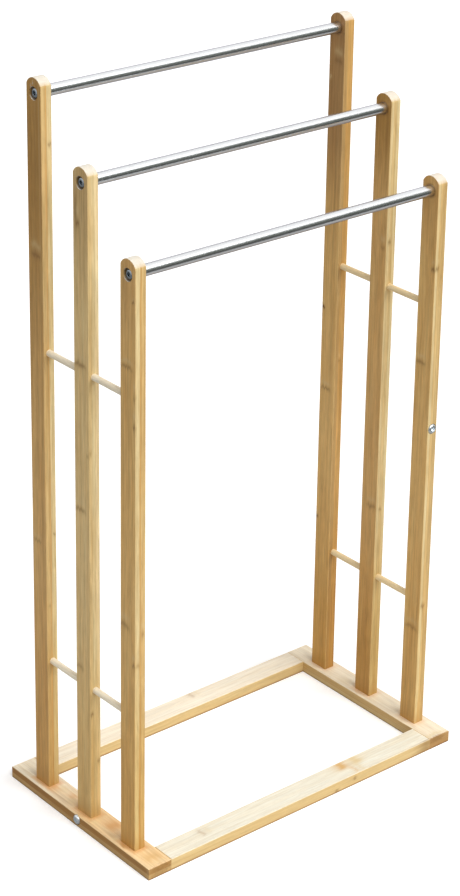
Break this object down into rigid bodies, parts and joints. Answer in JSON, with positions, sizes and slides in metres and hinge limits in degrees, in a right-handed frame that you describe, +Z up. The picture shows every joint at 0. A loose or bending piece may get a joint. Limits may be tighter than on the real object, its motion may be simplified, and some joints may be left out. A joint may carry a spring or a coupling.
{
  "type": "freestanding towel stand",
  "caption": "Floor-standing towel stand: a flat wooden base frame with stepped posts that carry slim steel towel bars, lower towards the front.",
  "frame": {"origin": "on the floor, at the middle of the base", "axes": "+X to the right along the towel bars, +Y to the back, where the tallest posts are, +Z up"},
  "size_m": [0.4216, 0.24, 0.795],
  "materials": {
    "bamboo": "clear satin lacquer on laminated bamboo",
    "rod_wood": "plain turned pale wood",
    "bar_steel": "bright stainless tube, lightly polished",
    "bolt_zinc": "bright zinc",
    "plug_plastic": "moulded, hidden in the tubes"
  },
  "bodies": {
    "root": {"side_rail_left": "bamboo", "side_rail_right": "bamboo", "cross_rail_back": "bamboo", "cross_rail_front": "bamboo", "post_left_rear": "bamboo", "post_left_middle": "bamboo", "post_left_front": "bamboo", "rod_left_lower": "rod_wood", "rod_left_upper": "rod_wood", "post_right_rear": "bamboo", "post_right_middle": "bamboo", "post_right_front": "bamboo", "rod_right_lower": "rod_wood", "rod_right_upper": "rod_wood", "towel_bar_rear": "bar_steel", "bar_plugs_rear": "plug_plastic", "bar_bolts_rear": "bolt_zinc", "towel_bar_middle": "bar_steel", "bar_plugs_middle": "plug_plastic", "bar_bolts_middle": "bolt_zinc", "towel_bar_front": "bar_steel", "bar_plugs_front": "plug_plastic", "bar_bolts_front": "bolt_zinc", "short_bolts": "bolt_zinc"}
  },
  "joints": []
}
